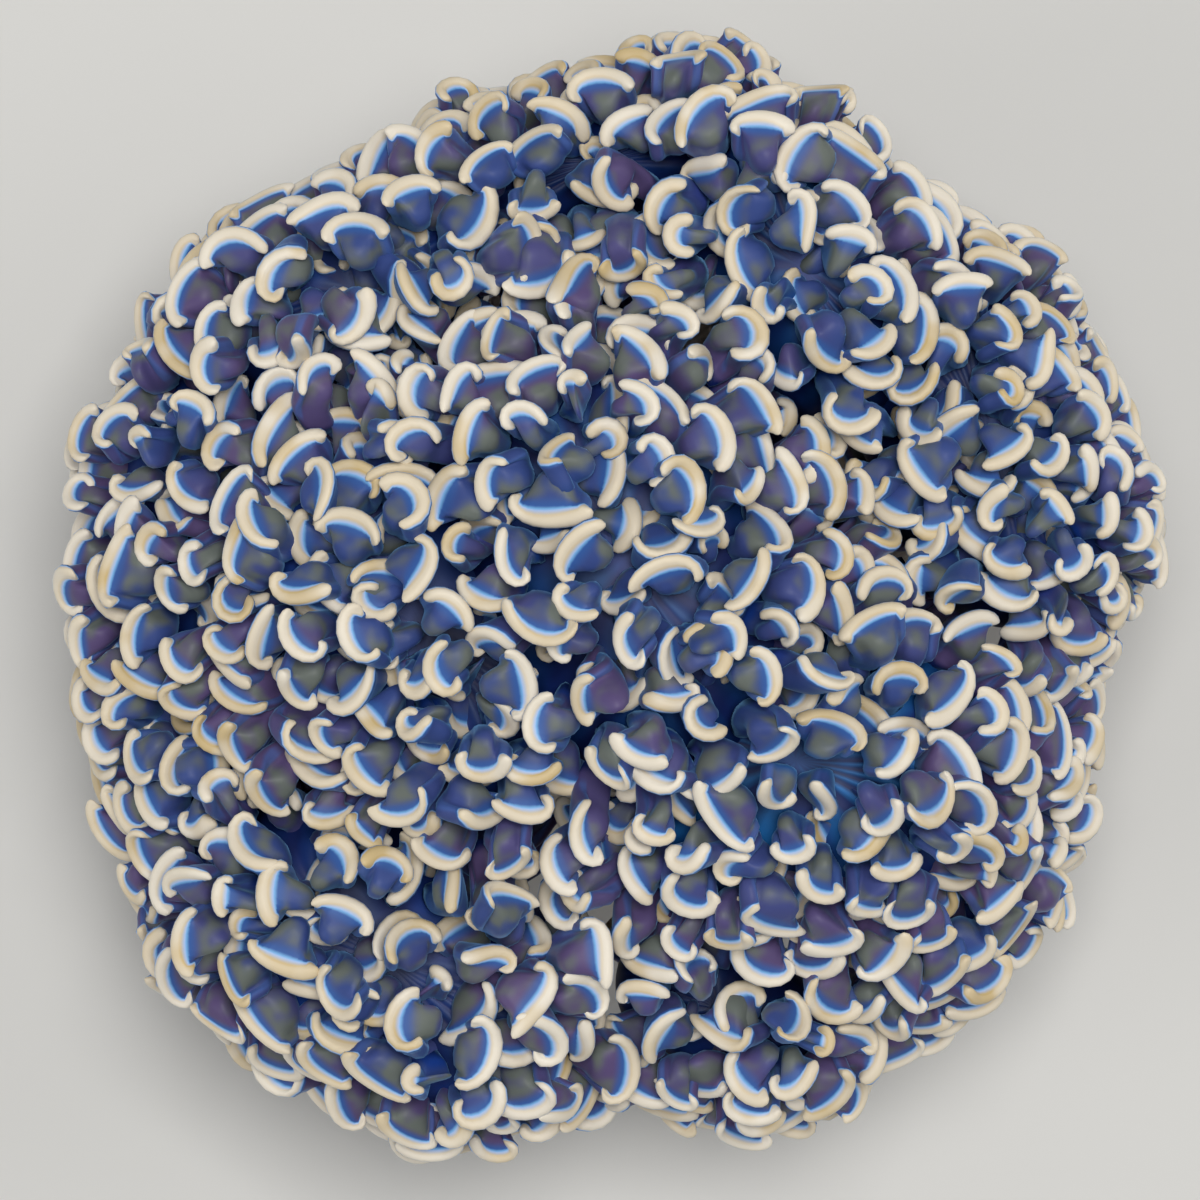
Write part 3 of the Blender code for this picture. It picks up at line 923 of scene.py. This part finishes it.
# The colours, from the roots up to the caps: each row's colour, the share that mixes it, and the
# two that it mixes, which are rows before it or else the coral's own colours.
FLESH_LAYERS = (
    ("web", "purple", "web", "flank"),
    ("web", "olive", "web", "mottle"),
    ("stem", "outer_stem", "stem", "flank"),
    ("skin", "web_start", "stem", "web"),
    ("skin", "near_mouth", "skin", "mouth"),
    # Painted light along the webs' side edges.
    ("skin", "edge_light", "skin", "edge_light"),
    # Painted shade at the stems' roots: navy, or near a mouth its blue with a painted glow.
    ("deep", "centre", "recess_shade", "mouth"),
    ("skin", "root", "skin", "deep"),
    # The caps' cream, with warm patches and painted shade at their lower edges.
    ("rim", "warm_and_shade", "rim", "rim_warm_and_shade"),
    ("rim", "cream", "fringe", "rim"),
    ("line", "line", "line", "rim"),
    ("glow", "glow", "skin", "glow"),
    ("colour", "cap", "glow", "line"),
)


def flesh_material(colours):
    """Living tentacle flesh: moist and soft, with a pale sheen where its edges catch the light."""
    material, tree, shader = new_material("tentacle flesh")
    place = add_node(tree, "TexCoord").outputs["Object"]
    values = {}
    for name in ("along", "tint", "flank", "inner_face", "centre", "side_edge"):
        values[name] = add_node(tree, "Attribute", {"attribute_name": name}).outputs["Fac"]
    for name, patch, detail in FLESH_PATCHES:
        values[name] = add_node(
            tree, "TexNoise", {"Scale": 1 / patch, "Detail": detail}, {"Vector": place}).outputs["Fac"]
    outer = add_node(
        tree, "MapRange",
        {"From Min": -1.0, "From Max": 0.0, "To Min": -OUTER_CREAM, "To Max": 0.0},
        {"Value": values["inner_face"]}).outputs["Result"]
    values["edge"] = add_node(
        tree, "Math", {"operation": "ADD"}, {0: outer, 1: values["along"]}).outputs[0]
    for name, source, start, full in FLESH_RANGES:
        values[name] = add_node(
            tree, "MapRange",
            {"interpolation_type": "SMOOTHSTEP", "From Min": start, "From Max": full},
            {"Value": values[source]}).outputs["Result"]
    for name, operation, *sources in FLESH_SHARES:
        settings = {"operation": operation}
        links = {}
        for socket, source in enumerate(sources):
            if source in values:
                links[socket] = values[source]
            else:
                settings[socket] = source
        values[name] = add_node(tree, "Math", settings, links).outputs[0]
    layers = {}
    for name, share, *pair in FLESH_LAYERS:
        settings = {"data_type": "RGBA"}
        links = {SHARE: values[share]}
        for socket, source in zip((FIRST, SECOND), pair):
            if source in layers:
                links[socket] = layers[source]
            else:
                settings[socket] = opaque(getattr(colours, source))
        layers[name] = add_node(tree, "Mix", settings, links).outputs[MIXED]
    tree.links.new(layers["colour"], shader.inputs["Base Color"])
    set_up(shader, {
        "Roughness": 0.48, "IOR": 1.38, "Specular IOR Level": 0.35, "Sheen Weight": 0.4,
        "Sheen Roughness": 0.35, "Sheen Tint": opaque(colours.line)})
    return material


# Discs: the fleshy cores under the tentacles.

# The disc, with the folds that run down from its mouth and the patches of its skin.
DISC_SEGMENTS = 48
DISC_RINGS = 24
DISC_FULLNESS = 0.8
DISC_FOLDS = 16
DISC_FOLD_RISE = 0.6 * MM
DISC_LUMP = 0.5 * MM
DISC_LUMP_STEP = 20.0 * MM
WANDER = 2.0
WANDER_STEP = 10.0 * MM
DISC_PATCH = 5.56 * MM

# The column from the disc down to the cup, with its folds and the lip at its foot.
COLUMN_FOOT_SHARE = 1.10
COLUMN_END = 0.5 * MM
COLUMN_TAPER = 1.4
COLUMN_DROP = 1.15
COLUMN_FOLDS = 14
COLUMN_FOLD_DEPTH = 0.30 * MM
LIP_START = 0.68
LIP_SPAN = 0.20
LIP_SHRINK = 0.34

# How the mouth line's ends are rounded, how far down its blue and painted glow come,
# and how blue it is at least.
MOUTH_ROUNDING = 2.0 * MM
MOUTH_TURN = math.radians(75)
PALEST_MOUTH = 0.1
AT_POLE = 1e-6


def disc(polyp, sizes, material):
    """A polyp's fleshy core, with its mouth on top and its column down to the cup."""
    dome = DOMES[polyp.name]
    bm = bmesh.new()
    bmesh.ops.create_uvsphere(
        bm, u_segments=DISC_SEGMENTS, v_segments=DISC_RINGS, radius=1.0)
    middle = Vector(dome.middle)
    along = Vector(dome.along)
    wide, high = dome.core(sizes.core_depth * MM)
    cup = cup_radius(polyp) * COLUMN_FOOT_SHARE
    drop = dome.middle[2] - polyp.underside * MM - COLUMN_END
    blue = PALEST_MOUTH + (1.0 - PALEST_MOUTH) * openness(polyp)
    column = bm.verts.layers.float.new("column")
    mouth = bm.verts.layers.float.new("mouth")
    groove = bm.verts.layers.float.new("groove")
    for vertex in bm.verts:
        way = vertex.co.normalized()
        fall = math.acos(max(-1.0, min(1.0, way.z)))
        flat = Vector((way.x, way.y, 0.0))
        if flat.length > AT_POLE:
            flat.normalize()
        low = max(0.0, fall / (math.pi / 2) - 1.0)
        if low == 0.0:
            out = wide * math.sin(fall) ** DISC_FULLNESS
            height = high * abs(math.cos(fall)) ** DISC_FULLNESS
        else:
            out = cup + (wide - cup) * (1 - low) ** COLUMN_TAPER
            out *= 1.0 - LIP_SHRINK * min(1.0, max(0.0, (low - LIP_START) / LIP_SPAN)) ** 2
            out *= min(1.0, (1.0 - low) * DISC_RINGS / 2)
            height = -drop * min(1.0, low * COLUMN_DROP)
        spot = flat * out
        side = 1.0 if spot.dot(along) > 0 else -1.0
        stretch = min(1.0, abs(spot.dot(along)) / MOUTH_ROUNDING)
        spot += along * (dome.half * side * stretch * (1.0 - low))
        fold = noise.noise(middle + way * DISC_LUMP_STEP) * DISC_LUMP
        turn = math.atan2(way.y, way.x)
        wander = WANDER * noise.noise((middle + way * WANDER_STEP) / LUMP_SIZE)
        fold += COLUMN_FOLD_DEPTH * low * (1.0 - low) * 4.0 * math.sin(COLUMN_FOLDS * turn + wander)
        vertex[column] = low
        # The share of the mouth's blue and painted glow, falling away down from the mouth.
        vertex[mouth] = blue * max(0.0, 1.0 - fall / MOUTH_TURN)
        ridge = math.sin(DISC_FOLDS * turn + wander)
        height += DISC_FOLD_RISE * (1.0 - low) * math.sin(fall) * ridge
        # The grooves between the folds, which the material leaves dark as painted shade.
        vertex[groove] = 0.5 - 0.5 * ridge
        vertex.co = middle + spot + flat * fold + Vector((0.0, 0.0, height))
    bmesh.ops.recalc_face_normals(bm, faces=bm.faces)
    add_flesh(object_from(bm, "disc_" + polyp.name), polyp, material)


def disc_material(colours):
    """The moist skin of the disc and column, dark with painted shade between the stems and blue with a
    painted glow at the mouth.
    """
    material, tree, shader = new_material("disc flesh")
    place = add_node(tree, "TexCoord").outputs["Object"]
    column, mouth, groove = (
        add_node(tree, "Attribute", {"attribute_name": name}).outputs["Fac"]
        for name in ("column", "mouth", "groove"))
    cloud = add_node(tree, "TexNoise", {"Scale": 1 / DISC_PATCH, "Detail": 2.0}, {"Vector": place})
    ramp = add_node(tree, "ValToRGB", links={"Fac": cloud.outputs["Fac"]})
    # The disc's top is mottled between the navy of painted shade and the stems' own blue.
    set_stops(ramp.color_ramp, ((0.45, colours.recess_shade), (0.85, colours.stem)))
    low = add_node(tree, "MapRange", {"From Min": 0.05, "From Max": 0.45}, {"Value": column})
    skin = add_node(
        tree, "Mix", {"data_type": "RGBA", SECOND: opaque(colours.collar)},
        {SHARE: low.outputs["Result"], FIRST: ramp.outputs["Color"]})
    # The mouth's blue and painted glow go only on the fold ridges; the grooves keep the darker mottle
    # as painted shade.
    ridges = add_node(tree, "MapRange", {"From Min": 0.75, "From Max": 0.15}, {"Value": groove})
    ridge_glow = add_node(
        tree, "Math", {"operation": "MULTIPLY"}, {0: mouth, 1: ridges.outputs["Result"]})
    lit = add_node(
        tree, "Mix", {"data_type": "RGBA", SECOND: opaque(colours.mouth)},
        {SHARE: ridge_glow.outputs[0], FIRST: skin.outputs[MIXED]})
    tree.links.new(lit.outputs[MIXED], shader.inputs["Base Color"])
    set_up(shader, {"Roughness": 0.5, "IOR": 1.38})
    return material


# The skeleton.

# The stalks' ridges, bands and lumps, the flare at their foot and the rounding of their cup.
RIDGES = 34
STALK_RINGS = 30
RIDGE_RISE = 0.13 * MM
RIDGE_SHARE = 0.7
RIDGE_UNEVEN = 0.5
COVERED_RIDGES = 0.6
BAND_SPACING = 2.3 * MM
BAND_RISE = 0.12 * MM
BAND_WANDER = 9.0 * MM
LUMP_SIZE = 7.0 * MM
LUMP_RISE = 0.55 * MM
FINE_LUMPS = 2.3
ROOT_FLARE = 0.16
FLARE_POWER = 6
CUP_ROUNDING = 0.20
ROUNDING_START = 0.75

# Where the flesh over a branch starts, how uneven and how wide its edge is, and its thickness.
FLESH_START = 0.48
FLESH_UNEVEN = 0.10
FLESH_EDGE = 0.05
FLESH_RISE = 0.35 * MM

# The foot's outline, as radius and height in mm, and its lobes and pits.
FOOT_OUTLINE = (
    (0.0, 0.0), (9.0, 0.0), (17.0, 0.0), (19.7, 0.0), (20.4, 0.5), (20.1, 1.8), (18.9, 3.6),
    (17.0, 5.2), (14.6, 6.5), (11.0, 7.2), (6.0, 7.5), (0.0, 7.6))
FOOT_STEPS = 96
FOOT_CUTS = 3
FOOT_LOBES = 5
FOOT_LOBE_DEPTH = 0.09
FOOT_LOBE_TURN = 0.6
FOOT_LUMPS = 0.05
PIT_SIZE = 2.0 * MM
PIT_SHARE = 0.012
PIT_RISE = 0.35 * MM
CUT_HEIGHT = 0.01 * MM
LOWEST_PIT = 0.05 * MM

# The stone's grain and the patches of its stains.
GRAIN_SIZE = 0.625 * MM
GRAIN_DEPTH = 0.18 * MM
STAIN_SIZE = 7.69 * MM


def lumps(point, size):
    """Uneven lumps of a size, with finer ones of half their rise."""
    return noise.noise(point / size) + 0.5 * noise.noise(point * FINE_LUMPS / size)


def stalk(name, start, bend, end, root_radius, end_radius, power, has_flesh, material):
    """A ridged stony stem along a bent path, with the edge of the living flesh near its end."""
    bm = bmesh.new()
    bmesh.ops.create_cone(
        bm, cap_ends=True, segments=2 * RIDGES, radius1=1.0, radius2=1.0, depth=1.0)
    upright = [edge for edge in bm.edges if abs(edge.verts[0].co.z - edge.verts[1].co.z) > 0.5]
    bmesh.ops.subdivide_edges(bm, edges=upright, cuts=STALK_RINGS - 1)
    groove = bm.verts.layers.float.new("groove")
    flesh = bm.verts.layers.float.new("flesh")
    length = (bend - start).length + (end - bend).length
    for vertex in bm.verts:
        share = vertex.co.z + 0.5
        turn = math.atan2(vertex.co.y, vertex.co.x)
        middle = start * (1 - share) ** 2 + bend * (2 * share * (1 - share)) + end * share ** 2
        way = ((bend - start) * (1 - share) + (end - bend) * share).normalized()
        side = way.cross(Vector((1.0, 0.0, 0.0))).normalized()
        out = side * math.cos(turn) + side.cross(way) * math.sin(turn)
        ridge = math.cos(turn * RIDGES)
        radius = root_radius + (end_radius - root_radius) * share ** power
        if has_flesh:
            rounding = max(0.0, (share - ROUNDING_START) / (1.0 - ROUNDING_START))
            radius -= CUP_ROUNDING * end_radius * rounding ** 2
        spot = middle + out * radius
        lump = lumps(spot, LUMP_SIZE)
        covered = 0.0
        if has_flesh:
            edge = FLESH_START + FLESH_UNEVEN * lump
            covered = max(0.0, min(1.0, (share - edge) / FLESH_EDGE))
        rise = RIDGE_RISE * ridge * (1.0 - COVERED_RIDGES * covered)
        rise *= RIDGE_SHARE + RIDGE_UNEVEN * lumps(spot, LUMP_SIZE / 2)
        bands = share * length / BAND_SPACING + lumps(spot, BAND_WANDER)
        rise += BAND_RISE * math.sin(math.tau * bands)
        rise += LUMP_RISE * lump + FLESH_RISE * covered
        rise += root_radius * ROOT_FLARE * (1.0 - share) ** FLARE_POWER
        vertex[groove] = 0.5 - 0.5 * ridge
        vertex[flesh] = covered
        vertex.co = spot + out * rise
    bmesh.ops.recalc_face_normals(bm, faces=bm.faces)
    stone_piece(bm, name, material)


def stone_piece(bm, name, material):
    """Finishes a stony piece that stands in place of a solid."""
    item = object_from(bm, "stone_" + name)
    item.data.materials.append(material)
    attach(item, "root")
    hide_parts(name)


def mixed_point(start, end, shares):
    """A point between two others, at a share of its own for each axis."""
    return Vector([a + (b - a) * share for a, b, share in zip(start, end, shares)])


def foot(material):
    """The lobed foot, rough where it spread and flat where it was cut."""
    bm = bmesh.new()
    corners = [bm.verts.new((radius * MM, 0.0, height * MM)) for radius, height in FOOT_OUTLINE]
    edges = [bm.edges.new(pair) for pair in zip(corners, corners[1:])]
    bmesh.ops.subdivide_edges(bm, edges=edges, cuts=FOOT_CUTS)
    bmesh.ops.spin(bm, geom=bm.verts[:] + bm.edges[:], axis=(0.0, 0.0, 1.0), cent=(0.0, 0.0, 0.0),
                   angle=math.tau, steps=FOOT_STEPS, use_merge=True)
    bmesh.ops.remove_doubles(bm, verts=bm.verts, dist=CUT_HEIGHT)
    groove = bm.verts.layers.float.new("groove")
    bm.verts.layers.float.new("flesh")
    for vertex in bm.verts:
        turn = math.atan2(vertex.co.y, vertex.co.x)
        swell = 1.0 + FOOT_LOBE_DEPTH * math.sin(FOOT_LOBES * turn + FOOT_LOBE_TURN)
        high = vertex.co.z > CUT_HEIGHT
        pit = lumps(vertex.co, PIT_SIZE)
        if high:
            swell += lumps(vertex.co, LUMP_SIZE) * FOOT_LUMPS + pit * PIT_SHARE
        vertex.co.x *= swell
        vertex.co.y *= swell
        if high:
            vertex.co.z = max(LOWEST_PIT, vertex.co.z + PIT_RISE * pit)
        vertex[groove] = 0.5 - 0.5 * pit
    bmesh.ops.recalc_face_normals(bm, faces=bm.faces)
    stone_piece(bm, "foot", material)


def skeleton(colours):
    """The foot, the limbs that rise from it and the branches that carry the polyps."""
    material = stone_material(colours)
    foot(material)
    ends = {limb.name: Vector(limb.end) * MM for limb in LIMBS}
    for name, end in ends.items():
        start = Vector((end.x * LIMB_ROOT_SPREAD, end.y * LIMB_ROOT_SPREAD, LIMB_ROOT_HEIGHT))
        bend = mixed_point(start, end, LIMB_BEND)
        low, high = LIMB_RADII
        stalk("limb_" + name, start, bend, end, low, high, 1.0, False, material)
    for polyp in POLYPS:
        start = ends[polyp.limb] - Vector((0.0, 0.0, BRANCH_ROOT_SUNK))
        end = Vector(DOMES[polyp.name].middle)
        end.z = polyp.underside * MM + CUP_DEPTH
        bend = mixed_point(start, end, BRANCH_BEND)
        stalk("branch_" + polyp.name, start, bend, end, BRANCH_ROOT_RADIUS, cup_radius(polyp),
              2.0, True, material)


def stone_material(colours):
    """Rough porous limestone, stained in its grooves, with purple flesh over the branch ends."""
    material, tree, shader = new_material("coral limestone")
    place = add_node(tree, "TexCoord").outputs["Object"]
    groove, flesh = (
        add_node(tree, "Attribute", {"attribute_name": name}).outputs["Fac"]
        for name in ("groove", "flesh"))
    grain, patch = (
        add_node(
            tree, "TexNoise", {"Scale": 1 / size, "Detail": detail}, {"Vector": place}).outputs["Fac"]
        for size, detail in ((GRAIN_SIZE, 4.0), (STAIN_SIZE, 3.0)))
    stain = add_node(
        tree, "Math", {"operation": "MULTIPLY_ADD", 1: 0.28}, {0: groove, 2: patch}).outputs[0]
    ramp = add_node(tree, "ValToRGB", links={"Fac": stain})
    set_stops(ramp.color_ramp, (
        (0.45, colours.stone), (0.66, colours.algae), (0.95, colours.stain)))
    skin = add_node(
        tree, "Mix", {"data_type": "RGBA", SECOND: opaque(colours.collar)},
        {SHARE: flesh, FIRST: ramp.outputs["Color"]})
    bump = add_node(tree, "Bump", {"Strength": 0.5, "Distance": GRAIN_DEPTH}, {"Height": grain})
    rough = add_node(tree, "MapRange", {"To Min": 0.88, "To Max": 0.5}, {"Value": flesh})
    tree.links.new(skin.outputs[MIXED], shader.inputs["Base Color"])
    tree.links.new(bump.outputs["Normal"], shader.inputs["Normal"])
    tree.links.new(rough.outputs["Result"], shader.inputs["Roughness"])
    return material


# The stage.

# The lamps, with their places, sizes and powers, and the point that they are aimed at.
Light = namedtuple("Light", "name place size power")
LIGHTS = (
    Light("overhead", (0.05, 0.10, 1.0), 0.35, 6.4),
    Light("fill_left", (-0.7, -0.3, 0.5), 0.5, 1.7),
    Light("fill_right", (0.7, 0.2, 0.5), 0.5, 1.4),
)
LIT_POINT = Vector((0.0, 0.0, 0.03))
WORLD_COLOUR = (0.9, 0.95, 1.0)
WORLD_STRENGTH = 0.18
SENSOR_WIDTH = 36.0
CAMERA_PLACE = (-0.6 * MM, 0.3 * MM)
OUTLINE_HEIGHT = 30.0 * MM


def lay_floor(settings):
    """The pale floor that the foot stands on."""
    bm = bmesh.new()
    bmesh.ops.create_grid(bm, x_segments=1, y_segments=1, size=settings.floor_size / 2)
    floor = object_from(bm, "floor")
    material, _, shader = new_material("painted floor")
    set_up(shader, {"Base Color": opaque(settings.floor_colour), "Roughness": 0.9})
    floor.data.materials.append(material)


def light_studio(scene):
    """A dim cool world, a lamp overhead and a fill from each side."""
    world = bpy.data.worlds.new("studio")
    world.use_nodes = True
    set_up(world.node_tree.nodes["Background"], {
        "Color": opaque(WORLD_COLOUR), "Strength": WORLD_STRENGTH})
    scene.world = world
    for light in LIGHTS:
        data = bpy.data.lights.new(light.name, "AREA")
        data.size = light.size
        data.energy = light.power
        lamp = bpy.data.objects.new(light.name, data)
        lamp.location = light.place
        aim = LIT_POINT - Vector(light.place)
        lamp.rotation_euler = aim.to_track_quat("-Z", "Y").to_euler()
        scene.collection.objects.link(lamp)


def place_camera(scene, settings):
    """The camera straight above, as wide as the settings say at the outline's height."""
    data = bpy.data.cameras.new("camera")
    data.sensor_width = SENSOR_WIDTH
    data.lens = SENSOR_WIDTH * (settings.camera_height - OUTLINE_HEIGHT) / settings.frame_width
    camera = bpy.data.objects.new("camera", data)
    camera.location = (*CAMERA_PLACE, settings.camera_height)
    scene.collection.objects.link(camera)
    scene.camera = camera
    scene.view_settings.view_transform = "Standard"


# Operators.


class CORAL_OT_skeleton(Operator):
    """Models the stony foot, limbs and branches"""
    bl_idname = "coral.skeleton"
    bl_label = "Model the skeleton"

    def execute(self, context):
        skeleton(context.scene.coral_colours)
        return {"FINISHED"}


class CORAL_OT_discs(Operator):
    """Models the fleshy disc and collar of every polyp"""
    bl_idname = "coral.discs"
    bl_label = "Model the discs"

    def execute(self, context):
        material = disc_material(context.scene.coral_colours)
        for polyp in POLYPS:
            disc(polyp, context.scene.coral_sizes, material)
        return {"FINISHED"}


class CORAL_OT_tentacles(Operator):
    """Grows the tentacles of every polyp"""
    bl_idname = "coral.tentacles"
    bl_label = "Grow the tentacles"

    def execute(self, context):
        sizes = context.scene.coral_sizes
        material = flesh_material(context.scene.coral_colours)
        tips = Tips(sizes)
        tips.push_apart(FIRST_BALLS)
        tips.fill_gaps()
        tips.push_apart(LATER_BALLS)
        tips.fill_gaps(BRIDGES)
        find_roots(tips, sizes)
        cage = tentacle_cage()
        for number in range(len(POLYPS)):
            tentacles(tips, number, cage, material)
        return {"FINISHED"}


class CORAL_OT_stage(Operator):
    """Lays the floor and sets the studio lights and the camera"""
    bl_idname = "coral.stage"
    bl_label = "Set the stage"

    def execute(self, context):
        settings = context.scene.coral_studio
        lay_floor(settings)
        light_studio(context.scene)
        place_camera(context.scene, settings)
        return {"FINISHED"}


class CORAL_PT_panel(Panel):
    """Lists the coral's pieces and its stage"""
    bl_idname = "CORAL_PT_panel"
    bl_label = "Hammer coral"
    bl_space_type = "VIEW_3D"
    bl_region_type = "UI"
    bl_category = "Coral"

    def draw(self, context):
        for operator in OPERATORS:
            self.layout.operator(operator.bl_idname)


GROUPS = {
    "coral_sizes": CoralSizes,
    "coral_colours": CoralColours,
    "coral_studio": StudioSettings,
}
OPERATORS = (CORAL_OT_skeleton, CORAL_OT_discs, CORAL_OT_tentacles, CORAL_OT_stage)
CLASSES = (*GROUPS.values(), *OPERATORS, CORAL_PT_panel)


def register():
    for entry in CLASSES:
        bpy.utils.register_class(entry)
    for name, group in GROUPS.items():
        setattr(bpy.types.Scene, name, PointerProperty(type=group))


def unregister():
    for name in GROUPS:
        delattr(bpy.types.Scene, name)
    for entry in reversed(CLASSES):
        bpy.utils.unregister_class(entry)


def main():
    register()
    bpy.ops.coral.skeleton()
    bpy.ops.coral.discs()
    bpy.ops.coral.tentacles()
    bpy.ops.coral.stage()


if __name__ == "__main__":
    main()
